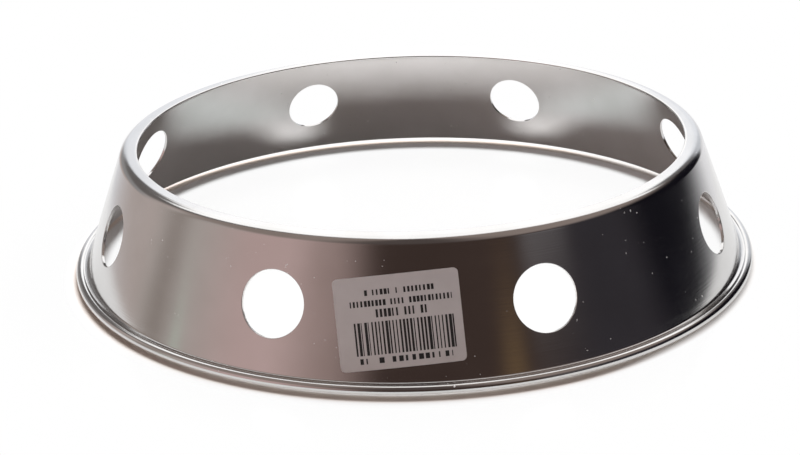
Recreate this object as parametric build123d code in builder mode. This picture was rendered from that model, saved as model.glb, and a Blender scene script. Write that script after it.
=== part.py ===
from build123d import *
from math import cos, hypot, radians, sin, tan
import os

# Wok ring: one pressed sheet-steel collar that holds a round-bottomed pan over a burner.
# Millimetres, +Z up. The origin is on the axis, at the level that the ring stands on.

# Pressed ring, from the foot up
sheet = 1.0  # thickness of the steel
foot_radius = 127.0  # outside of the foot bead
foot_upstand = 0.6  # height of the bead's straight outside, above the floor
bead_inside = 0.8  # inside radius of the bead
bead_rise = 40.0  # slope of the sheet from the groove up to the bead, degrees
groove_bend = 0.8  # radius of the groove's two bends, on the face that shows
bend_gap = 0.12  # straight sheet left between neighbouring bends of the foot
wall_lean = 20.25  # lean of the wall towards the axis, degrees
rim_height = 45.0  # top of the turned-in lip
rim_inside = 1.0  # inside radius of the bend between wall and lip
lip_width = 5.8  # from the corner of wall and lip to the lip's trimmed edge
lip_edge_round = 0.35  # softened corners of the trimmed edge

# Vent holes, punched square to the wall
vent_count = 8
vent_diameter = 22.2
vent_above_middle = 0.5  # height of the hole centres over the middle of the ring
vent_edge_round = 0.2  # soft edge that the punch leaves on the outer face

# Paper label, stuck on the wall between two vent holes
label_width = 40.5
label_length = 30.0  # down the slope of the wall
label_thickness = 0.1
label_corner = 3.0
label_below_vents = 2.4  # its centre under the height of the hole centres
label_gap = 2  # number of vent spacings from +X round to the front
label_shift = 1.5  # its centre to the left of the middle between the holes, degrees
label_tilt = 5.4  # its right side is the higher one, degrees

# Foot profile, worked inwards from the bead's upright outside. The bead ends where it touches
# the rising sheet, which meets the flat floor of the groove, which meets the leaning wall.
bead_bend = bead_inside + sheet
bead_crest = foot_upstand + bead_bend
rise = radians(bead_rise)
lean = radians(wall_lean)
touch_radius = foot_radius - bead_bend * (1 + sin(rise))
touch_height = bead_crest - bead_bend * (1 - cos(rise))
rise_setback = groove_bend * tan(rise / 2)
wall_setback = groove_bend * tan((radians(90) - lean) / 2)
groove_outer = touch_radius - (bend_gap + rise_setback) * cos(rise)
groove_inner = groove_outer - rise_setback - bend_gap - wall_setback
groove_height = touch_height - (bend_gap + rise_setback) * sin(rise)


def wall_radius(height, depth=0.0):
    """Radius of the wall's outer face, or of the face at a depth behind it, at any height."""
    return groove_inner - (height - groove_height) * tan(lean) - depth / cos(lean)


def rise_height(radius, depth=0.0):
    """Height of the sheet that rises from the groove to the bead, at any radius."""
    return touch_height + (radius - touch_radius) * tan(rise) - depth / cos(rise)


def sheet_face(depth):
    """Line of the face at a depth in the steel, from the lip's edge down to the floor."""
    lip_level = rim_height - depth
    groove_level = groove_height - depth
    groove_end = groove_outer + depth * tan(rise / 2)
    upright = foot_radius - depth
    return FilletPolyline(
        (opening_radius, lip_level),
        (wall_radius(lip_level, depth), lip_level),
        (wall_radius(groove_level, depth), groove_level),
        (groove_end, groove_level),
        (upright, rise_height(upright, depth)),
        (upright, 0),
        radius=[rim_bend - depth, groove_bend + depth, groove_bend + depth, bead_bend - depth],
    )


def wall_plane(angle, height, turn=0.0):
    """A plane that touches the wall's outer face, with its X level and its Z pointing out."""
    outward = radians(angle)
    radius = wall_radius(height)
    return Plane(
        origin=(radius * cos(outward), radius * sin(outward), height),
        x_dir=(-sin(outward), cos(outward), 0),
        z_dir=(cos(outward) * cos(lean), sin(outward) * cos(lean), sin(lean)),
    ).rotated((0, 0, turn))


def distance_from_axis(edge):
    return hypot(edge.center().X, edge.center().Y)


rim_bend = rim_inside + sheet
opening_radius = wall_radius(rim_height) - lip_width
vent_pitch = 360 / vent_count
vent_height = rim_height / 2 + vent_above_middle
punch_depth = 5 * sheet

with BuildPart() as wok_ring:
    with BuildSketch(Plane.XZ) as section:
        with BuildLine():
            outside = sheet_face(0)
            inside = sheet_face(sheet)
            Line(outside @ 0, inside @ 0)
            Line(outside @ 1, inside @ 1)
        make_face()
        fillet(section.vertices().group_by(Axis.X)[0], min(lip_edge_round, 0.4 * sheet))
    revolve(axis=Axis.Z)

    # Vent holes, with the punch's soft edge on the outer face
    with PolarLocations(0, vent_count, start_angle=vent_pitch / 2):
        with Locations(wall_plane(0, vent_height)):
            Cylinder(vent_diameter / 2, punch_depth, mode=Mode.SUBTRACT)
    punched = wok_ring.edges(Select.LAST).filter_by(lambda edge: edge.is_closed)
    fillet(punched.group_by(distance_from_axis)[-1], min(vent_edge_round, 0.4 * sheet))
wok_ring.part.label = "wok_ring"

with BuildPart() as label:
    # A full collar of paper on the straight part of the wall, cut down to the label's outline
    with BuildSketch(Plane.XZ):
        with BuildLine():
            collar_foot = groove_height + wall_setback
            collar_top = rim_height - rim_bend
            back = Line((wall_radius(collar_foot), collar_foot), (wall_radius(collar_top), collar_top))
            lift = Vector(cos(lean), sin(lean)) * label_thickness
            front = Line(back @ 0 + lift, back @ 1 + lift)
            Line(back @ 0, front @ 0)
            Line(back @ 1, front @ 1)
        make_face()
    revolve(axis=Axis.Z)
    label_angle = -label_gap * vent_pitch - label_shift
    with BuildSketch(wall_plane(label_angle, vent_height - label_below_vents, label_tilt)):
        RectangleRounded(label_width, label_length, label_corner)
    extrude(amount=label_width / 2, both=True, mode=Mode.INTERSECT)
label.part.label = "label"

os.makedirs("parts", exist_ok=True)
export_step(wok_ring.part, "parts/wok_ring.step")
export_step(label.part, "parts/label.step")
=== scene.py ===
# %% [markdown]
# # A wok ring in plated steel
# This lesson dresses one kitchen part, a pressed collar that steadies a round-bottomed pan over a
# burner. It is a thin sheet, bent and punched, so nearly all of its look is reflection. The lesson
# therefore spends its effort on three things: a clean mesh with true bends, a plating that blurs
# and streaks what it mirrors, and a quiet studio for it to mirror.
#
# The imported model gives the fixed frame. Its box is kept, and gives the ring's largest sizes.

import math

import bmesh
import bpy
import numpy as np
from mathutils import Matrix, Vector


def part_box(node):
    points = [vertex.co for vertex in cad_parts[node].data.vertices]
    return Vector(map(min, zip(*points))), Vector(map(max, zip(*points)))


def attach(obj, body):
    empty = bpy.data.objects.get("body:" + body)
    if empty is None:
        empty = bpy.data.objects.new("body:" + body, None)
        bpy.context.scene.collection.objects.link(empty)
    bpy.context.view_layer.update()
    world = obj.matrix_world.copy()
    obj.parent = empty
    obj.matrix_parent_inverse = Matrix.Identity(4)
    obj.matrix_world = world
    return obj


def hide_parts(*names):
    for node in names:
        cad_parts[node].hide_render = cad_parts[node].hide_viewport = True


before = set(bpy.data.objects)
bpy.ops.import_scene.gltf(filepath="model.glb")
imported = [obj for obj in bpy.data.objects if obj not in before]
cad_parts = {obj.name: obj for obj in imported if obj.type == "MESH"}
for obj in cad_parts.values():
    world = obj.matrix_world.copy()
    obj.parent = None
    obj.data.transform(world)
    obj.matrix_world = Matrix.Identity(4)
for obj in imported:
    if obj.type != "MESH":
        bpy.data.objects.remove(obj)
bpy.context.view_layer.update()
ring_low, ring_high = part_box("wok_ring")
ring_across = (ring_high.x - ring_low.x) * 1000
print("ring across and high, mm:", round(ring_across, 2), round(ring_high.z * 1000, 2))

# %% [markdown]
# The real ring starts as a flat disc of steel about a millimetre thick. A press draws it into a
# cone, turns its top edge in to make a lip, and curls its foot into a bead. What stays the same
# everywhere is the sheet's thickness, so one description of the outer face is enough: each bend
# has a centre, and the inner face runs round the same centre with the thickness added or taken off.
#
# The sizes are in metres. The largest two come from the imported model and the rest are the
# pressing's own.

# %% Sizes of the pressing
MM = 0.001
foot_radius = ring_high.x
rim_height = ring_high.z
sheet = 1.0 * MM
foot_upstand = 0.6 * MM
bead_inside = 0.8 * MM
groove_bend = 0.8 * MM
corner_bend = 0.5 * MM
bend_gap = 0.12 * MM
wall_base = 123.392 * MM
rim_bend = 3.6 * MM
lip_width = 5.8 * MM
lip_edge_round = 0.35 * MM
rise = math.radians(30)
lean = math.radians(20.25)

bead_bend = bead_inside + sheet
touch_radius = foot_radius - bead_bend * (1 + math.sin(rise))
touch_height = foot_upstand + bead_bend * math.cos(rise)
rise_setback = groove_bend * math.tan(rise / 2)
groove_outer = touch_radius - (bend_gap + rise_setback) * math.cos(rise)
groove_height = touch_height - (bend_gap + rise_setback) * math.sin(rise)
groove_inner = wall_base - groove_height * math.tan(lean)


def wall_radius(height):
    """Radius of the wall's outer face at a height."""
    return groove_inner - (height - groove_height) * math.tan(lean)


opening_radius = wall_radius(rim_height) - lip_width
print("opening across, mm:", round(opening_radius * 2000, 2))

# %% [markdown]
# A section of the sheet is a list of (radius, height) points. It is drawn in two runs, because the
# straight wall between them gets its own mesh round the vent holes. The top run goes from the
# wall's outer face over the rim to the lip's trimmed edge and back under it. The bottom run goes
# through the groove and over the bead, which curls a little under its own middle and rests on the
# floor, and then back along the inside.
#
# A helper gives the points of one bend, from its centre, its radius and its two directions. Five to
# twenty points round each bend keep a mirrored line smooth.

# %% Section of the sheet, away from the wall
def bend(centre, radius, start, end, steps):
    """Points round one bend, from a start to an end direction in degrees, in the section's plane."""
    points = []
    for step in range(steps + 1):
        turn = math.radians(start + (end - start) * step / steps)
        points.append((centre[0] + radius * math.cos(turn), centre[1] + radius * math.sin(turn)))
    return points


def between(start, end, steps):
    """Points on a straight run, without its two ends."""
    return [
        tuple(a + (b - a) * step / steps for a, b in zip(start, end))
        for step in range(1, steps)
    ]


lean_degrees = math.degrees(lean)
rise_degrees = math.degrees(rise)
rim_setback = rim_bend * math.tan((math.pi / 2 - lean) / 2)
rim_centre = (wall_radius(rim_height) - rim_setback, rim_height - rim_bend)
wall_top = (rim_centre[0] + rim_bend * math.cos(lean), rim_centre[1] + rim_bend * math.sin(lean))
corner_setback = corner_bend * math.tan((math.pi / 2 - lean) / 2)
corner_centre = (groove_inner + corner_setback, groove_height + corner_bend)
wall_foot = (
    corner_centre[0] - corner_bend * math.cos(lean),
    corner_centre[1] - corner_bend * math.sin(lean),
)
groove_end = (groove_outer - rise_setback, groove_height + groove_bend)
bead_centre = (foot_radius - bead_bend, foot_upstand)

top_outer = bend(rim_centre, rim_bend, lean_degrees, 90, 10)
top_inner = bend(rim_centre, rim_bend - sheet, 90, lean_degrees, 8)
edge = lip_edge_round
edge_top = bend((opening_radius + edge, rim_height - edge), edge, 90, 180, 4)
edge_under = bend((opening_radius + edge, rim_height - sheet + edge), edge, 180, 270, 4)
top_run = (
    top_outer
    + between(top_outer[-1], edge_top[0], 5)
    + edge_top
    + edge_under
    + between(edge_under[-1], top_inner[0], 5)
    + top_inner
)

groove_out = bend(corner_centre, corner_bend, 180 + lean_degrees, 270, 7)
rise_out = bend(groove_end, groove_bend, 270, 270 + rise_degrees, 5)
under_out = math.degrees(math.asin(foot_upstand / bead_bend))
under_in = math.degrees(math.asin(foot_upstand / bead_inside))
bead_out = bend(bead_centre, bead_bend, 90 + rise_degrees, -under_out, 20)
bead_in = bend(bead_centre, bead_inside, -under_in, 90 + rise_degrees, 14)
rise_in = bend(groove_end, groove_bend + sheet, 270 + rise_degrees, 270, 5)
groove_in = bend(corner_centre, corner_bend + sheet, 270, 180 + lean_degrees, 7)
bottom_run = (
    groove_out
    + rise_out
    + bead_out
    + bead_in
    + rise_in
    + groove_in
)
print("section points:", len(top_run), "over the rim and", len(bottom_run), "round the foot")

# %% [markdown]
# The wall repeats eight times, with one punched hole in each eighth. A boolean cut would leave long
# thin triangles, and a mirror finish shows every one of them as a ripple. So one eighth is built
# as a clean net of quads instead: rings of points grow from the round hole to a square patch, and
# plain strips fill the rest of the slice.
#
# A point of the wall is given by its angle, its height on the outer face and its depth in the
# sheet. For a point of the hole the angle and height aren't known, because the punch goes
# straight through a curved wall, so they are found by a few steps of Newton's method.

# %% Points on the wall and round a vent hole
vent_count = 8
vent_radius = 11.1 * MM
vent_height = rim_height / 2 + 0.5 * MM
vent_edge_round = 0.2 * MM
outward = np.array([math.cos(lean), 0.0, math.sin(lean)])
upward = np.array([-math.sin(lean), 0.0, math.cos(lean)])
sideways = np.array([0.0, 1.0, 0.0])
vent_centre = np.array([wall_radius(vent_height), 0.0, vent_height])


def wall_point(angle, height, depth):
    """A point of the wall, from its angle, its height on the outer face and its depth in the sheet."""
    radius = wall_radius(height) - depth * math.cos(lean)
    return (radius * math.cos(angle), radius * math.sin(angle), height - depth * math.sin(lean))


def vent_place(turn, radius, depth):
    """Angle and height, on the outer face, of a point at a radius round the hole's own axis."""
    flat = vent_centre + radius * (math.cos(turn) * sideways + math.sin(turn) * upward)
    sink = -depth
    for _ in range(6):
        x, y, z = flat + sink * outward
        height = z + depth * math.sin(lean)
        miss = math.hypot(x, y) - (wall_radius(height) - depth * math.cos(lean))
        sink -= miss * math.cos(lean)
    x, y, z = flat + sink * outward
    return math.atan2(y, x), z + depth * math.sin(lean)


angle, height = vent_place(0.0, vent_radius, 0.0)
print("hole's side, degrees and mm up:", round(math.degrees(angle), 2), round(height / MM, 2))

# %% [markdown]
# The slice is collected as loose grids, each a small table of points. The grids share their border
# points exactly, so that a weld can join them later. The patch round the hole blends from the
# circle to a rectangle, with its rings closer together near the hole, where the light turns
# fastest.

# %% One eighth of the ring
pitch = 2 * math.pi / vent_count
patch_half = math.radians(8)
across_patch = 18
across_side = 15
up_wall = 22
patch_rings = 11
ring_spread = 1.5
verts = []
faces = []


def add_grid(rows, closed=False):
    """Adds a grid of points as quads. Each row is one list of points, and closed joins its ends."""
    first = len(verts)
    wide = len(rows[0])
    for row in rows:
        verts.extend(row)
    for r in range(len(rows) - 1):
        for c in range(wide if closed else wide - 1):
            a = first + r * wide + c
            b = first + r * wide + (c + 1) % wide
            faces.append((a, b, b + wide, a + wide))


patch_angles = [patch_half * (2 * i / across_patch - 1) for i in range(across_patch + 1)]
side_angles = [patch_half + (pitch / 2 - patch_half) * i / across_side for i in range(across_side + 1)]
slice_angles = [-a for a in reversed(side_angles)] + patch_angles[1:-1] + side_angles
heights = [wall_foot[1] + (wall_top[1] - wall_foot[1]) * i / up_wall for i in range(up_wall + 1)]

# The patch's border, anticlockwise from its right side's foot, as (angle, height)
border = [(patch_half, h) for h in heights]
border += [(a, heights[-1]) for a in reversed(patch_angles[1:-1])]
border += [(-patch_half, h) for h in reversed(heights)]
border += [(a, heights[0]) for a in patch_angles[1:-1]]
spin = [
    math.atan2(h - vent_height, a * wall_radius(vent_height))
    for a, h in border
]

for depth in (0.0, sheet):
    hole_radius = vent_radius + (vent_edge_round if depth == 0.0 else 0.0)
    circle = [vent_place(turn, hole_radius, depth) for turn in spin]
    rings = []
    for i in range(patch_rings + 1):
        share = (i / patch_rings) ** ring_spread
        rings.append([
            wall_point(a0 + (a1 - a0) * share, h0 + (h1 - h0) * share, depth)
            for (a0, h0), (a1, h1) in zip(circle, border)
        ])
    add_grid(rings, closed=True)
    for sign in (-1, 1):
        add_grid([[wall_point(sign * a, h, depth) for a in side_angles] for h in heights])

# The hole's soft outer edge, then its straight cut face
mouth = []
for i in range(5):
    turn = math.pi / 2 * i / 4
    wider = vent_edge_round * (1 - math.sin(turn))
    mouth.append((vent_radius + wider, vent_edge_round * (1 - math.cos(turn))))
mouth += [(vent_radius, vent_edge_round + (sheet - vent_edge_round) * i / 3) for i in range(1, 4)]
add_grid([[wall_point(*vent_place(turn, r, d), d) for turn in spin] for r, d in mouth], closed=True)

for run in (top_run, bottom_run):
    add_grid([[(r * math.cos(a), r * math.sin(a), z) for a in slice_angles] for r, z in run])

slice_mesh = bpy.data.meshes.new("ring_slice")
slice_mesh.from_pydata(verts, [], faces)
slice_object = bpy.data.objects.new("ring_slice", slice_mesh)
bpy.context.scene.collection.objects.link(slice_object)
print("one eighth:", len(faces), "quads")

# %% [markdown]
# On the real ring the punch and die step round the cone, and each blow makes the same hole. Geometry
# Nodes can say the same thing: put a point for each vent, place the slice on every point with its
# own turn, make the copies real and weld their seams. The count stays a named input, so a ring with
# another number of vents only needs another slice width and another number here.
#
# An array modifier with an empty as its pivot would also do it, but the tree keeps the rule in one
# place and needs no helper object. The result is copied into a plain mesh at the end.

# %% Repeat the slice round the axis
def repeat_tree():
    """A tree that places copies of a slice evenly round the Z axis and welds them."""
    tree = bpy.data.node_groups.new("Slices round the axis", "GeometryNodeTree")
    face = tree.interface
    face.new_socket("Slice", in_out="INPUT", socket_type="NodeSocketGeometry")
    face.new_socket("Slices", in_out="INPUT", socket_type="NodeSocketInt")
    face.new_socket("Weld Distance", in_out="INPUT", socket_type="NodeSocketFloat")
    face.new_socket("Finish", in_out="INPUT", socket_type="NodeSocketMaterial")
    face.new_socket("Ring", in_out="OUTPUT", socket_type="NodeSocketGeometry")
    new = tree.nodes.new
    link = tree.links.new
    start = new("NodeGroupInput")
    points = new("GeometryNodePoints")
    index = new("GeometryNodeInputIndex")
    middle = new("ShaderNodeMath")
    middle.operation = "ADD"
    middle.inputs[1].default_value = 0.5
    share = new("ShaderNodeMath")
    share.operation = "DIVIDE"
    turn = new("ShaderNodeMath")
    turn.operation = "MULTIPLY"
    turn.inputs[1].default_value = 2 * math.pi
    spin_axis = new("ShaderNodeCombineXYZ")
    place = new("GeometryNodeInstanceOnPoints")
    real = new("GeometryNodeRealizeInstances")
    weld = new("GeometryNodeMergeByDistance")
    smooth = new("GeometryNodeSetShadeSmooth")
    finish = new("GeometryNodeSetMaterial")
    end = new("NodeGroupOutput")
    link(start.outputs["Slices"], points.inputs["Count"])
    link(index.outputs[0], middle.inputs[0])
    link(middle.outputs[0], share.inputs[0])
    link(start.outputs["Slices"], share.inputs[1])
    link(share.outputs[0], turn.inputs[0])
    link(turn.outputs[0], spin_axis.inputs["Z"])
    link(points.outputs[0], place.inputs["Points"])
    link(start.outputs["Slice"], place.inputs["Instance"])
    link(spin_axis.outputs[0], place.inputs["Rotation"])
    link(place.outputs[0], real.inputs[0])
    link(real.outputs[0], weld.inputs["Geometry"])
    link(start.outputs["Weld Distance"], weld.inputs["Distance"])
    link(weld.outputs[0], smooth.inputs["Geometry"])
    link(smooth.outputs[0], finish.inputs["Geometry"])
    link(start.outputs["Finish"], finish.inputs["Material"])
    link(finish.outputs[0], end.inputs["Ring"])
    return tree


def set_input(modifier, name, value):
    """Sets a tree's input by its socket's identifier."""
    for socket in modifier.node_group.interface.items_tree:
        if socket.name == name and socket.in_out == "INPUT":
            modifier[socket.identifier] = value
            return
    raise KeyError(name)


def made_real(obj, name):
    """The evaluated shape of an object, as a new object with a plain mesh."""
    bpy.context.view_layer.update()
    shape = obj.evaluated_get(bpy.context.evaluated_depsgraph_get())
    mesh = bpy.data.meshes.new_from_object(shape)
    mesh.name = name
    made = bpy.data.objects.new(name, mesh)
    bpy.context.scene.collection.objects.link(made)
    bpy.data.objects.remove(obj)
    return made


plating = bpy.data.materials.new("satin_plating")
repeat = slice_object.modifiers.new("Slices round the axis", "NODES")
repeat.node_group = repeat_tree()
set_input(repeat, "Slices", vent_count)
set_input(repeat, "Weld Distance", 0.01 * MM)
set_input(repeat, "Finish", plating)
ring = made_real(slice_object, "pressed_ring")

shell = bmesh.new()
shell.from_mesh(ring.data)
bmesh.ops.recalc_face_normals(shell, faces=shell.faces)
open_edges = sum(1 for e in shell.edges if not e.is_manifold)
volume = shell.calc_volume()
shell.to_mesh(ring.data)
shell.free()
print("ring:", len(ring.data.polygons), "quads,", open_edges, "open edges")
print("steel in the ring, cubic cm:", round(volume * 1e6, 2))

# %% [markdown]
# Smooth shading averages the faces round each point. On the wall that isn't quite good enough: the
# quads differ in size, so their averages lean a little this way and that, and a mirror doubles every
# lean. The wall's true direction is known, though. It depends on the angle alone, so each corner
# that lies on the wall is given it outright, and the small bends keep their averages.

# %% Exact shading on the wall
ring.data.set_sharp_from_angle(angle=math.radians(35))
points = np.empty(len(ring.data.vertices) * 3)
ring.data.vertices.foreach_get("co", points)
points = points.reshape(-1, 3)
corner_point = np.empty(len(ring.data.loops), dtype=int)
ring.data.loops.foreach_get("vertex_index", corner_point)
corner_normal = np.array([n.vector for n in ring.data.corner_normals])
corner = points[corner_point]
radius = np.hypot(corner[:, 0], corner[:, 1])
true_normal = np.stack([
    corner[:, 0] / radius * math.cos(lean),
    corner[:, 1] / radius * math.cos(lean),
    np.full(len(radius), math.sin(lean)),
], axis=1)
outer_line = groove_inner - (corner[:, 2] - groove_height) * math.tan(lean)
behind = (outer_line - radius) * math.cos(lean)
facing = (corner_normal * true_normal).sum(axis=1)
slack = 1e-6
above_foot = corner[:, 2] > wall_foot[1] - sheet * math.sin(lean) - slack
straight = above_foot & (corner[:, 2] < wall_top[1] + slack)
on_outside = straight & (abs(behind) < slack) & (facing > 0.97)
on_inside = straight & (abs(behind - sheet) < slack) & (facing < -0.97)
corner_normal[on_outside] = true_normal[on_outside]
corner_normal[on_inside] = -true_normal[on_inside]
ring.data.normals_split_custom_set([tuple(n) for n in corner_normal])
print("wall corners set:", int(on_outside.sum()), "outside and", int(on_inside.sum()), "inside")

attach(ring, "root")
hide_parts("wok_ring")

# %% [markdown]
# The label is a slip of coated paper, rolled onto the wall by hand and so a little crooked. It has
# to follow the cone closely, because any gap would show as a dark line. A flat net of points is
# laid out first, with rounded corners, and each point is then moved straight in until it meets the
# wall. The flat layout also gives the label its own map for the print.
#
# The net is a grid squeezed at its corners: rows near the top and bottom are narrower, by the amount
# that the corner's arc asks for. The paper is a tenth of a millimetre thick, so the net gets a
# second face behind it and a rim between them.

# %% Place and outline of the label
label_width = 40.2 * MM
label_length = 29.7 * MM
label_corner = 1.6 * MM
label_thickness = 0.1 * MM
glue_gap = 0.02 * MM
label_angle = math.radians(-91.5)
label_height = vent_height - 2.4 * MM
label_tilt = math.radians(5.4)

centre = Vector((
    wall_radius(label_height) * math.cos(label_angle),
    wall_radius(label_height) * math.sin(label_angle),
    label_height,
))
level = Vector((-math.sin(label_angle), math.cos(label_angle), 0))
proud = Vector((
    math.cos(label_angle) * math.cos(lean),
    math.sin(label_angle) * math.cos(lean),
    math.sin(lean),
))
across = level @ Matrix.Rotation(-label_tilt, 3, proud)
along = proud.cross(across)


def on_wall(u, v, lift):
    """Moves a flat point of the label straight in, until it lies a lift above the wall."""
    point = centre + across * u + along * v
    for _ in range(5):
        line = groove_inner - (point.z - groove_height) * math.tan(lean)
        above = (math.hypot(point.x, point.y) - line) * math.cos(lean)
        point = point - proud * (above - lift)
    return point


def half_width(v):
    """Half the label's width at a distance from its middle, less near the rounded corners."""
    past = max(0.0, abs(v) - (label_length / 2 - label_corner))
    return label_width / 2 - label_corner + math.sqrt(max(0.0, label_corner**2 - past**2))


print("label's middle, mm:", [round(c / MM, 1) for c in centre])

# %% [markdown]
# The net itself needs more rows at the rounded corners than along the straight sides. Both faces
# are made by the same loop. The paper's edge joins them, point by point, round their outlines.

# %% Paper label
columns = 48
straight_rows = 26
corner_rows = 10
flat_half = label_length / 2 - label_corner
row_places = [-flat_half + 2 * flat_half * i / straight_rows for i in range(straight_rows + 1)]
corner_turns = [math.pi / 2 * i / corner_rows for i in range(1, corner_rows + 1)]
curved = [flat_half + label_corner * math.sin(turn) for turn in corner_turns]
row_places = [-v for v in reversed(curved)] + row_places + curved


def outline(rows):
    """The points round the edge of a net of rows, once each."""
    return rows[0] + [r[-1] for r in rows[1:]] + rows[-1][-2::-1] + [r[0] for r in rows[-2:0:-1]]


paper_net = bmesh.new()
print_map = paper_net.loops.layers.uv.new("print")
flat_places = {}
for lift in (label_thickness, glue_gap):
    rows = []
    for v in row_places:
        row = []
        for i in range(columns + 1):
            u = half_width(v) * (2 * i / columns - 1)
            point = paper_net.verts.new(on_wall(u, v, lift))
            flat_places[point] = (u, v)
            row.append(point)
        rows.append(row)
    for low, high in zip(rows, rows[1:]):
        for i in range(columns):
            quad = (low[i], low[i + 1], high[i + 1], high[i])
            paper_net.faces.new(quad if lift == label_thickness else quad[::-1])
    if lift == label_thickness:
        front_rows = rows
front_edge = outline(front_rows)
back_edge = outline(rows)
for i in range(len(front_edge)):
    j = (i + 1) % len(front_edge)
    paper_net.faces.new((front_edge[i], back_edge[i], back_edge[j], front_edge[j]))
for face in paper_net.faces:
    face.smooth = True
    for loop in face.loops:
        u, v = flat_places[loop.vert]
        loop[print_map].uv = (u / label_width + 0.5, v / label_length + 0.5)
bmesh.ops.recalc_face_normals(paper_net, faces=paper_net.faces)
label_mesh = bpy.data.meshes.new("paper_label")
paper_net.to_mesh(label_mesh)
paper_net.free()
label_mesh.set_sharp_from_angle(angle=math.radians(40))
label = bpy.data.objects.new("paper_label", label_mesh)
bpy.context.scene.collection.objects.link(label)
paper = bpy.data.materials.new("printed_paper")
label.data.materials.append(paper)
print("label:", len(label_mesh.polygons), "faces")

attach(label, "root")
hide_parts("label")

# %% [markdown]
# Both finishes are built from the same few kinds of node, so short helpers keep the trees readable:
# one adds a node and sets its plain values, one does arithmetic, and one gives a mask that is 1
# between two values.

# %% Helpers for materials
def start_tree(material):
    """Empties a material and returns its tree with a Principled shader joined to the output."""
    material.use_nodes = True
    tree = material.node_tree
    tree.nodes.clear()
    shader = tree.nodes.new("ShaderNodeBsdfPrincipled")
    output = tree.nodes.new("ShaderNodeOutputMaterial")
    tree.links.new(shader.outputs[0], output.inputs["Surface"])
    return tree, shader


def math_node(tree, operation, first, second=0.0, third=None):
    """A Math node. Each input is a number or a socket."""
    node = tree.nodes.new("ShaderNodeMath")
    node.operation = operation
    for i, value in enumerate((first, second, third)):
        if value is None:
            continue
        if isinstance(value, (int, float)):
            node.inputs[i].default_value = value
        else:
            tree.links.new(value, node.inputs[i])
    return node.outputs[0]


def vector_node(tree, operation, first, second=None):
    """A Vector Math node. Each input is a triple or a socket, and Scale takes a number."""
    node = tree.nodes.new("ShaderNodeVectorMath")
    node.operation = operation
    tree.links.new(first, node.inputs[0])
    if operation == "SCALE":
        node.inputs["Scale"].default_value = second
    elif isinstance(second, tuple):
        node.inputs[1].default_value = second
    elif second is not None:
        tree.links.new(second, node.inputs[1])
    return node.outputs[0]


def fade(tree, value, low, high, start=0.0, end=1.0, smooth=True):
    """A Map Range node that goes from start to end as the value goes from low to high."""
    node = tree.nodes.new("ShaderNodeMapRange")
    node.interpolation_type = "SMOOTHSTEP" if smooth else "LINEAR"
    tree.links.new(value, node.inputs["Value"])
    for name, number in (("From Min", low), ("From Max", high), ("To Min", start), ("To Max", end)):
        node.inputs[name].default_value = number
    return node.outputs[0]


def noise(tree, vector, scale, detail=2.0, roughness=0.5):
    """A Noise Texture's value."""
    node = tree.nodes.new("ShaderNodeTexNoise")
    node.inputs["Scale"].default_value = scale
    node.inputs["Detail"].default_value = detail
    node.inputs["Roughness"].default_value = roughness
    tree.links.new(vector, node.inputs["Vector"])
    return node.outputs[0]


def mix_colour(tree, share, first, second):
    """A Mix node for two colours. Each input is a colour, a number or a socket."""
    node = tree.nodes.new("ShaderNodeMix")
    node.data_type = "RGBA"
    for name, value in (("Factor_Float", share), ("A_Color", first), ("B_Color", second)):
        socket = next(s for s in node.inputs if s.identifier == name)
        if isinstance(value, tuple):
            socket.default_value = (*value, 1.0)
        elif isinstance(value, (int, float)):
            socket.default_value = value
        else:
            tree.links.new(value, socket)
    return next(s for s in node.outputs if s.identifier == "Result_Color")


print("helpers ready")

# %% [markdown]
# Pressing drags the sheet over the die, and the plating keeps the marks: faint lines that run round
# the wall, and short lines that run across the lip. Both can be made from noise that is stretched
# hard in one direction. On the wall the pattern changes quickly with height and slowly round the
# axis. On the lip it is read from the direction away from the axis alone, which makes every mark
# point at the centre, with no seam anywhere.
#
# The marks change the roughness a little and tilt the surface by a hair. Stronger marks would look
# brushed, and this finish is only satin. A slow cloudy pattern varies the blur. A few tiny specks
# of dust lie on the plating. They aren't metal, so they show pale where the steel mirrors a dark
# room.

# %% Satin plating
tree, shader = start_tree(plating)
new = tree.nodes.new
link = tree.links.new
coordinates = new("ShaderNodeTexCoord")
place = coordinates.outputs["Object"]
split = new("ShaderNodeSeparateXYZ")
link(place, split.inputs[0])
geometry = new("ShaderNodeNewGeometry")
normal_parts = new("ShaderNodeSeparateXYZ")
link(geometry.outputs["Normal"], normal_parts.inputs[0])

flatness = math_node(tree, "ABSOLUTE", normal_parts.outputs["Z"])
lip_mask = fade(tree, flatness, 0.80, 0.97)
wall_stretch = vector_node(tree, "MULTIPLY", place, (14.0, 14.0, 2600.0))
wall_marks = noise(tree, wall_stretch, 1.0, 3.0, 0.6)
away = vector_node(tree, "NORMALIZE", vector_node(tree, "MULTIPLY", place, (1.0, 1.0, 0.0)))
lip_stretch = vector_node(tree, "SCALE", away, 330.0)
lip_marks = noise(tree, lip_stretch, 1.0, 3.0, 0.6)
marks = new("ShaderNodeMix")
link(lip_mask, marks.inputs[0])
link(wall_marks, marks.inputs[2])
link(lip_marks, marks.inputs[3])
marks = marks.outputs[0]

cloud = noise(tree, place, 38.0, 3.0, 0.55)
blur = math_node(tree, "MULTIPLY_ADD", marks, 0.08, 0.07)
blur = math_node(tree, "MULTIPLY_ADD", cloud, 0.05, blur)
link(blur, shader.inputs["Roughness"])

specks = fade(tree, noise(tree, place, 750.0, 1.0, 0.4), 0.74, 0.79)
rare = fade(tree, noise(tree, place, 60.0, 1.0), 0.50, 0.64)
dust = math_node(tree, "MULTIPLY", specks, rare)
tone = mix_colour(tree, fade(tree, cloud, 0.3, 0.7), (0.60, 0.59, 0.58), (0.65, 0.64, 0.635))
tone = mix_colour(tree, dust, tone, (0.85, 0.85, 0.85))
link(tone, shader.inputs["Base Color"])
link(math_node(tree, "SUBTRACT", 1.0, dust), shader.inputs["Metallic"])

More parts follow.
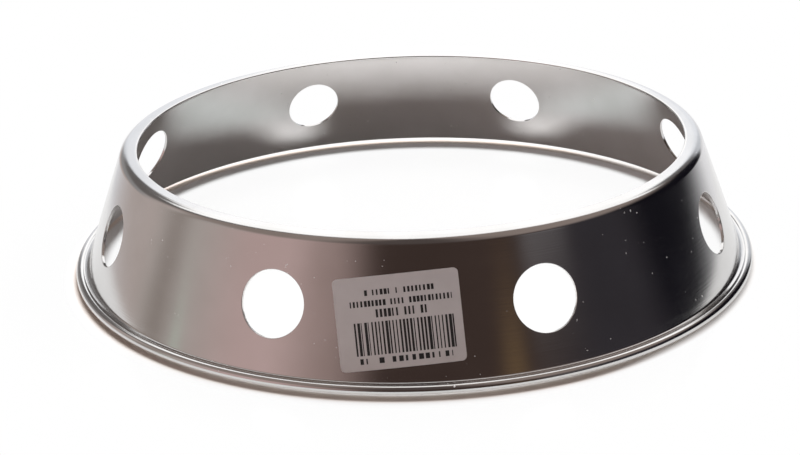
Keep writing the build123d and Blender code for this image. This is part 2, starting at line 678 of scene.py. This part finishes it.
bump = new("ShaderNodeBump")
bump.inputs["Strength"].default_value = 0.035
bump.inputs["Distance"].default_value = 0.0002
link(math_node(tree, "MULTIPLY_ADD", dust, 2.0, marks), bump.inputs["Height"])
link(bump.outputs[0], shader.inputs["Normal"])
print("plating:", len(tree.nodes), "nodes")

# %% [markdown]
# The label is white coated stock with black thermal print. The print is a plain pattern that means
# nothing: three rows of small upright blocks, a field of tall bars, and a spaced row of blocks under
# it. Every mark is a rectangle, so the whole print is masks: a band down, a band across, and a
# pattern of cells where the two meet. Each mark's width comes from white noise on the number of its
# cell, and a few cells stay empty, so nothing is listed by hand.

# %% Printed paper
tree, shader = start_tree(paper)
new = tree.nodes.new
link = tree.links.new
map_node = new("ShaderNodeUVMap")
map_node.uv_map = "print"
split = new("ShaderNodeSeparateXYZ")
link(map_node.outputs[0], split.inputs[0])
across_mm = math_node(tree, "MULTIPLY", split.outputs["X"], label_width / MM)
down_mm = math_node(tree, "MULTIPLY_ADD", split.outputs["Y"], -label_length / MM, label_length / MM)


def band(value, low, high):
    """1 where the value lies between low and high, and 0 elsewhere."""
    return math_node(tree, "COMPARE", value, (low + high) / 2, (high - low) / 2)


def cell_noise(value, width, seed):
    """A fixed random number from 0 to 1 for each cell of a width along the value."""
    cell = math_node(tree, "FLOOR", math_node(tree, "DIVIDE", value, width))
    node = new("ShaderNodeTexWhiteNoise")
    node.noise_dimensions = "1D"
    link(math_node(tree, "ADD", cell, seed), node.inputs["W"])
    return node.outputs["Value"]


def block_row(top, tall, left, wide, pitch, stroke, seed):
    """A row of small upright blocks of uneven width, with a few places left empty as gaps."""
    inside = math_node(tree, "MULTIPLY", band(down_mm, top, top + tall), band(across_mm, left, left + wide))
    step = math_node(tree, "WRAP", across_mm, pitch, 0.0)
    uneven = cell_noise(across_mm, pitch, seed + 0.5)
    width = fade(tree, uneven, 0.0, 1.0, stroke, 0.78 * pitch, smooth=False)
    block = math_node(tree, "LESS_THAN", step, width)
    present = math_node(tree, "GREATER_THAN", cell_noise(across_mm, pitch, seed), 0.14)
    return math_node(tree, "MULTIPLY", math_node(tree, "MULTIPLY", inside, block), present)


rows = [
    block_row(4.3, 1.8, 10.0, 22.5, 1.25, 0.40, 3.0),
    block_row(7.65, 1.9, 5.0, 32.5, 1.20, 0.40, 19.0),
    block_row(10.6, 2.6, 12.5, 17.3, 1.30, 0.45, 40.0),
    block_row(25.9, 1.8, 6.5, 29.5, 2.10, 0.40, 64.0),
]
bar_pitch = 1.12
thinnest_bar = 0.26
widest_bar = 1.0
uneven = cell_noise(across_mm, bar_pitch, 11.0)
bar_width = fade(tree, uneven, 0.0, 1.0, thinnest_bar, widest_bar, smooth=False)
bar = math_node(tree, "LESS_THAN", math_node(tree, "WRAP", across_mm, bar_pitch, 0.0), bar_width)
field = math_node(tree, "MULTIPLY", band(down_mm, 14.5, 25.0), band(across_mm, 5.5, 38.0))
ink = math_node(tree, "MULTIPLY", field, bar)
for row in rows:
    ink = math_node(tree, "MAXIMUM", ink, row)
front = new("ShaderNodeTexCoord")
fibre = noise(tree, front.outputs["Object"], 2400.0, 2.0, 0.6)
mottle = noise(tree, front.outputs["Object"], 160.0, 3.0, 0.6)
stock = mix_colour(tree, mottle, (0.54, 0.495, 0.49), (0.62, 0.58, 0.575))
stock = mix_colour(tree, math_node(tree, "MULTIPLY", fibre, 0.25), stock, (0.50, 0.465, 0.46))
ink_black = (0.012, 0.010, 0.011)
link(mix_colour(tree, ink, stock, ink_black), shader.inputs["Base Color"])
link(math_node(tree, "MULTIPLY_ADD", fibre, 0.15, 0.45), shader.inputs["Roughness"])
bump = new("ShaderNodeBump")
bump.inputs["Strength"].default_value = 0.08
bump.inputs["Distance"].default_value = 0.0001
link(fibre, bump.inputs["Height"])
link(bump.outputs[0], shader.inputs["Normal"])
print("paper:", len(tree.nodes), "nodes")

# %% [markdown]
# The floor is a white card under a clear sheet, a usual table for product pictures. The ring stands
# on the sheet, and its shadow falls on the card two millimetres lower. From the camera's height
# that shows as a dark band just under the foot, which seats the ring on its table. A narrow ring of
# the card's own colour under the foot is painted darker and brown, a painted shadow that deepens the real
# one.
#
# Card and sheet are flat squares. Both use the distance from the ring's axis, which
# a short helper gives.

# %% White card
card_depth = 2.0 * MM
card_reach = 240 * MM
fade_start = 170 * MM
painted_shadow_middle = foot_radius - 1 * MM


def flat_square(name, reach, height):
    """A square plate that faces up, centred on the axis."""
    mesh = bpy.data.meshes.new(name)
    corners = [(x * reach, y * reach, height) for x, y in ((-1, -1), (1, -1), (1, 1), (-1, 1))]
    mesh.from_pydata(corners, [], [(0, 1, 2, 3)])
    plate = bpy.data.objects.new(name, mesh)
    bpy.context.scene.collection.objects.link(plate)
    return plate


def axis_distance(tree):
    """The distance of a place from the ring's axis."""
    place = tree.nodes.new("ShaderNodeTexCoord").outputs["Object"]
    length = tree.nodes.new("ShaderNodeVectorMath")
    length.operation = "LENGTH"
    tree.links.new(vector_node(tree, "MULTIPLY", place, (1.0, 1.0, 0.0)), length.inputs[0])
    return length.outputs["Value"]


card = flat_square("card", card_reach, -card_depth)
pale = bpy.data.materials.new("white_card")
card.data.materials.append(pale)
tree, shader = start_tree(pale)
shader.inputs["Roughness"].default_value = 0.6
shader.inputs["Specular IOR Level"].default_value = 0.2
from_axis = axis_distance(tree)
# Painted shadow: within a few millimetres of the foot the card's own colour turns darker and brown.
off_painted_shadow = math_node(tree, "ABSOLUTE", math_node(tree, "SUBTRACT", from_axis, painted_shadow_middle))
tone = mix_colour(tree, fade(tree, off_painted_shadow, 1 * MM, 3.5 * MM), (0.70, 0.60, 0.53), (0.90, 0.90, 0.90))
tree.links.new(tone, shader.inputs["Base Color"])
print("card lies", card_depth / MM, "mm under the foot")

# %% [markdown]
# Open card is lifted to plain white where the camera, a mirror or a clear thing looks at it, and
# it still takes shadow for everything else. Outside, the lift begins at the foot and is full five
# millimetres out, so the shadow band stays, and it begins sooner on the right, which paints the band
# fainter there, a painted lightening of the shadow. Inside the ring only the camera gets it.
#
# The wall's inside mirrors the card just in front of it. There, on both sides of the middle, the
# card is painted lighter and a little cool for mirrored rays only, a painted pool of light that the
# wall's inside shows as a painted reflection. Further out the card fades away into the white behind
# it, so it needs no edge or horizon.

# %% Open card lifted to white
path = tree.nodes.new("ShaderNodeLightPath")
split = tree.nodes.new("ShaderNodeSeparateXYZ")
tree.links.new(tree.nodes.new("ShaderNodeTexCoord").outputs["Object"], split.inputs[0])
to_side = math_node(tree, "ABSOLUTE", split.outputs["X"])


def blend_shaders(tree, share, first, second):
    """A Mix Shader node that gives first where the share is 0 and second where it is 1."""
    node = tree.nodes.new("ShaderNodeMixShader")
    tree.links.new(share, node.inputs[0])
    tree.links.new(first, node.inputs[1])
    tree.links.new(second, node.inputs[2])
    return node.outputs[0]


looked_at = math_node(tree, "MAXIMUM", path.outputs["Is Camera Ray"], path.outputs["Is Glossy Ray"])
looked_at = math_node(tree, "MAXIMUM", looked_at, path.outputs["Is Transmission Ray"])
# Painted lightening: on the right the lift starts up to 2.5 mm sooner, so the shadow band there is painted
# fainter.
sooner = fade(tree, split.outputs["X"], 50 * MM, 90 * MM, 0.0, 2.5 * MM)
reached = math_node(tree, "ADD", from_axis, sooner)
outside = fade(tree, reached, foot_radius - 0.5 * MM, foot_radius + 5 * MM)
inside = fade(tree, from_axis, foot_radius - 12 * MM, foot_radius - 7 * MM, 0.97, 0.0)
inside = math_node(tree, "MULTIPLY", path.outputs["Is Camera Ray"], inside)
lifted = math_node(tree, "MAXIMUM", math_node(tree, "MULTIPLY", looked_at, outside), inside)

# Painted light: near the wall inside, on both sides of the middle, mirrored rays see the card lighter and a
# little cool.
mirrored = fade(tree, from_axis, 82 * MM, 93 * MM)
mirrored = math_node(tree, "MULTIPLY", mirrored, fade(tree, from_axis, 100 * MM, 110 * MM, 1.0, 0.0))
mirrored = math_node(tree, "MULTIPLY", mirrored, fade(tree, to_side, 22 * MM, 50 * MM, 0.0, 0.66))
mirrored = math_node(tree, "MULTIPLY", mirrored, fade(tree, to_side, 62 * MM, 90 * MM, 1.0, 0.15))
mirrored = math_node(tree, "MULTIPLY", path.outputs["Is Glossy Ray"], mirrored)
lifted = math_node(tree, "MAXIMUM", lifted, mirrored)
white = tree.nodes.new("ShaderNodeEmission")
tree.links.new(mix_colour(tree, mirrored, (1.0, 1.0, 1.0), (0.90, 0.98, 0.96)), white.inputs["Color"])

surface = blend_shaders(tree, lifted, shader.outputs[0], white.outputs[0])
see_through = tree.nodes.new("ShaderNodeBsdfTransparent").outputs[0]
surface = blend_shaders(tree, fade(tree, from_axis, fade_start, card_reach), surface, see_through)
output = next(n for n in tree.nodes if n.type == "OUTPUT_MATERIAL")
tree.links.new(surface, output.inputs["Surface"])
print("card:", len(tree.nodes), "nodes")

# %% [markdown]
# The clear sheet shows only as a faint gloss near the foot. The gloss fades out before the sheet
# ends, so that no edge of it shows from any side.

# %% Clear sheet
gloss_share = 0.02
clear_sheet = flat_square("clear_sheet", card_reach, -0.01 * MM)
clear = bpy.data.materials.new("clear_sheet")
clear_sheet.data.materials.append(clear)
clear.use_nodes = True
tree = clear.node_tree
tree.nodes.clear()
gloss = tree.nodes.new("ShaderNodeBsdfGlossy")
gloss.inputs["Roughness"].default_value = 0.15
see_through = tree.nodes.new("ShaderNodeBsdfTransparent").outputs[0]
glossy = fade(tree, axis_distance(tree), foot_radius, fade_start, gloss_share, 0.0)
output = tree.nodes.new("ShaderNodeOutputMaterial")
tree.links.new(blend_shaders(tree, glossy, see_through, gloss.outputs[0]), output.inputs["Surface"])
print("gloss fades out by", fade_start / MM, "mm from the axis")

# %% [markdown]
# A mirror shows its room, so the room is the main light here. It is painted on the world from the
# direction alone: azimuth round the ring, in degrees with 0 in front and minus on the left, and
# elevation above the floor. Masks with soft edges on those two angles place every part of it.

# %% Directions in the room
world = bpy.data.worlds.new("studio")
bpy.context.scene.world = world
world.use_nodes = True
tree = world.node_tree
tree.nodes.clear()
new = tree.nodes.new
link = tree.links.new
direction = new("ShaderNodeTexCoord").outputs["Generated"]
split = new("ShaderNodeSeparateXYZ")
link(direction, split.inputs[0])
to_front = math_node(tree, "MULTIPLY", split.outputs["Y"], -1.0)
turned_to = math_node(tree, "ARCTAN2", split.outputs["X"], to_front)
azimuth = math_node(tree, "MULTIPLY", turned_to, 180 / math.pi)
raised_to = math_node(tree, "ARCSINE", split.outputs["Z"])
elevation = math_node(tree, "MULTIPLY", raised_to, 180 / math.pi)


def soft_panel(azimuth_at, elevation_at, half_wide, half_tall, soft):
    """A mask for a soft-edged panel of the room, in degrees: 1 inside, falling to 0 at its rim."""
    aside = math_node(tree, "ABSOLUTE", math_node(tree, "SUBTRACT", azimuth, azimuth_at))
    above = math_node(tree, "ABSOLUTE", math_node(tree, "SUBTRACT", elevation, elevation_at))
    wide = fade(tree, aside, half_wide - soft, half_wide + soft, 1.0, 0.0)
    tall = fade(tree, above, half_tall - soft, half_tall + soft, 1.0, 0.0)
    return math_node(tree, "MULTIPLY", wide, tall)


print("directions:", len(tree.nodes), "nodes")

# %% [markdown]
# The wall's outside mirrors the front and the sides of a small studio. To the left of the camera
# its room is a warm grey-brown with one darker upright strip, and in front and to the right it is
# dark, with two dim things in it. A small pale green thing stands far on the left. Higher up the
# room is dark in front and brown at both sides. The far corner on the left is grey, and below the
# horizon the floor grows white towards the ring.

# %% Walls and floor of the room
left_room = mix_colour(tree, fade(tree, azimuth, -88, -56), (0.51, 0.46, 0.43), (0.64, 0.475, 0.455))
left_room = mix_colour(tree, fade(tree, azimuth, -112, -98), (0.57, 0.49, 0.46), left_room)
left_room = mix_colour(tree, soft_panel(-95, 10, 5, 60, 5), left_room, (0.36, 0.31, 0.285))
left_room = mix_colour(tree, fade(tree, azimuth, -48, -28), left_room, (0.40, 0.295, 0.275))
dark_room = mix_colour(tree, fade(tree, azimuth, 34, 66), (0.060, 0.040, 0.034), (0.040, 0.036, 0.042))
dark_room = mix_colour(tree, fade(tree, azimuth, 80, 98), dark_room, (0.007, 0.0065, 0.010))
room = mix_colour(tree, fade(tree, azimuth, -30, -9), left_room, dark_room)
room = mix_colour(tree, soft_panel(33, 10, 3.5, 3.5, 3), room, (0.22, 0.14, 0.07))
room = mix_colour(tree, soft_panel(50, 19, 9, 5, 3.5), room, (0.17, 0.16, 0.165))
room = mix_colour(tree, soft_panel(-84, 1.5, 2, 2.5, 1.8), room, (0.62, 0.72, 0.62))
off_front = math_node(tree, "ABSOLUTE", azimuth)
upper_room = mix_colour(tree, fade(tree, off_front, 12, 50), (0.10, 0.08, 0.075), (0.33, 0.27, 0.245))
room = mix_colour(tree, fade(tree, elevation, 24, 44), room, upper_room)

in_corner = fade(tree, azimuth, -126, -110, 1.0, 0.0)
in_corner = math_node(tree, "MULTIPLY", in_corner, fade(tree, elevation, -4, 4))
corner_tone = mix_colour(tree, fade(tree, elevation, 9, 21), (0.36, 0.35, 0.35), (0.17, 0.155, 0.15))
room = mix_colour(tree, in_corner, room, corner_tone)
floor_line = math_node(tree, "ADD", elevation, fade(tree, azimuth, -150, -105, 2.6, 0.0))
far_floor = fade(tree, floor_line, -11.5, -2.0, 1.0, 0.0)
floor_tone = mix_colour(tree, fade(tree, azimuth, -60, 60), (0.80, 0.80, 0.83), (0.95, 0.95, 0.97))
room = mix_colour(tree, far_floor, room, floor_tone)
print("walls and floor:", len(tree.nodes), "nodes")

# %% [markdown]
# A lit backdrop stands behind the ring. It is brightest in the middle, bluer and dimmer to its
# sides, and reaches further round on the right. Its top is an arch, a little above the height of
# the camera. The far part of the lip mirrors that edge.

# %% Lit backdrop
backdrop_top = 24.5
arch = 0.018
further_right = 10.0
aside = math_node(tree, "SUBTRACT", 180.0, math_node(tree, "ABSOLUTE", azimuth))
backdrop = mix_colour(tree, fade(tree, aside, 3.5, 8.5), (1.50, 1.50, 1.50), (1.10, 1.13, 1.19))
backdrop = mix_colour(tree, fade(tree, aside, 15, 26), backdrop, (0.76, 0.79, 0.84))
backdrop = mix_colour(tree, fade(tree, elevation, -2, 8), (0.95, 0.95, 0.97), backdrop)
aside = math_node(tree, "SUBTRACT", aside, fade(tree, azimuth, -60, 60, 0.0, further_right))
top_drop = math_node(tree, "MULTIPLY", math_node(tree, "POWER", aside, 2.0), arch)
above_top = math_node(tree, "SUBTRACT", math_node(tree, "ADD", elevation, top_drop), backdrop_top)
backdrop = mix_colour(tree, fade(tree, above_top, -1.5, 1.5), backdrop, (0.15, 0.14, 0.14))
painted = mix_colour(tree, fade(tree, aside, 21, 27), backdrop, room)
print("backdrop's top:", backdrop_top, "degrees above the floor")

# %% [markdown]
# A wide softbox hangs over the ring and behind it, and the lip mirrors it. It is flat and level, so
# it is drawn where a ray would cross a level ceiling one unit up, with x to the side and y to the
# back. Its front edge runs back on both sides, and a narrower part of it reaches far back.
#
# The camera sees the world only as plain white. Everything else, mirrored rays and light alike,
# gets the painted room, and matt surfaces get a tenth more light from it.

# %% Painted softbox
softbox_tone = 1.55
matt_share = 1.1
rise_of_ray = math_node(tree, "MAXIMUM", split.outputs["Z"], 0.1)
ceiling_x = math_node(tree, "DIVIDE", split.outputs["X"], rise_of_ray)
ceiling_y = math_node(tree, "DIVIDE", split.outputs["Y"], rise_of_ray)
to_side = math_node(tree, "ABSOLUTE", ceiling_x)
from_front = math_node(tree, "MULTIPLY_ADD", to_side, -0.85, ceiling_y)
box = fade(tree, ceiling_y, 0.95, 1.2, 1.0, 0.0)
box = math_node(tree, "MULTIPLY", box, fade(tree, to_side, 0.8, 1.05, 1.0, 0.0))
tongue = fade(tree, math_node(tree, "MULTIPLY_ADD", ceiling_y, 0.12, to_side), 0.68, 0.79, 1.0, 0.0)
box = math_node(tree, "MAXIMUM", box, tongue)
box = math_node(tree, "MULTIPLY", box, fade(tree, from_front, -0.06, 0.12))
box = math_node(tree, "MULTIPLY", box, fade(tree, split.outputs["Z"], 0.05, 0.15))
painted = mix_colour(tree, box, painted, (softbox_tone, softbox_tone, softbox_tone))

path = new("ShaderNodeLightPath")
seen_white = mix_colour(tree, path.outputs["Is Camera Ray"], painted, (1.0, 1.0, 1.0))
background = new("ShaderNodeBackground")
link(seen_white, background.inputs["Color"])
strength = fade(tree, path.outputs["Is Diffuse Ray"], 0, 1, 1.0, matt_share, smooth=False)
link(strength, background.inputs["Strength"])
link(background.outputs[0], new("ShaderNodeOutputWorld").inputs["Surface"])
print("room:", len(tree.nodes), "nodes")

# %% [markdown]
# One square lamp gives the softbox's own light. It hangs high, a little behind the ring, and tips
# towards it. It lights the card and the label, and its light through the back holes makes bright
# spots on the card inside, which the wall's inside mirrors. Mirrors don't see the lamp, because the
# painted softbox is there for them.

# %% Softbox lamp
lamp_back = 0.38
lamp_high = 1.20
softbox = bpy.data.lights.new("softbox", "AREA")
softbox.shape = "RECTANGLE"
softbox.size = 0.6
softbox.size_y = 0.6
softbox.energy = 16.5
lamp = bpy.data.objects.new("softbox", softbox)
lamp.location = (0.0, lamp_back, lamp_high)
lamp.rotation_euler = (-math.atan2(lamp_back, lamp_high), 0, 0)
bpy.context.scene.collection.objects.link(lamp)
lamp.visible_glossy = False
print("softbox:", softbox.energy, "watts")

# %% [markdown]
# The camera stands in front, a little to the right of the ring's own front, and looks down at
# about 21 degrees with a long lens. Its place and turn were worked out from the ellipses of the
# rim, the foot and the holes, which fix the view of a round thing completely.

# %% Camera
camera_place = (0.01182, -0.61843, 0.25031)
camera_turn = 0.02706
camera_tip = 0.37541
camera_roll = -0.03184
lens = bpy.data.cameras.new("camera")
lens.sensor_width = 36
lens.lens = 78.67
lens.clip_start = 0.01
camera = bpy.data.objects.new("camera", lens)
bpy.context.scene.collection.objects.link(camera)
turned = Matrix.Rotation(camera_turn, 3, "Z")
tipped = Matrix.Rotation(math.pi / 2 - camera_tip, 3, "X")
rolled = Matrix.Rotation(camera_roll, 3, "Z")
camera.matrix_world = Matrix.Translation(camera_place) @ (turned @ tipped @ rolled).to_4x4()
bpy.context.scene.camera = camera
bpy.context.scene.view_settings.view_transform = "Standard"
print("camera stands", [round(c, 3) for c in camera.location], "m from the ring's middle")
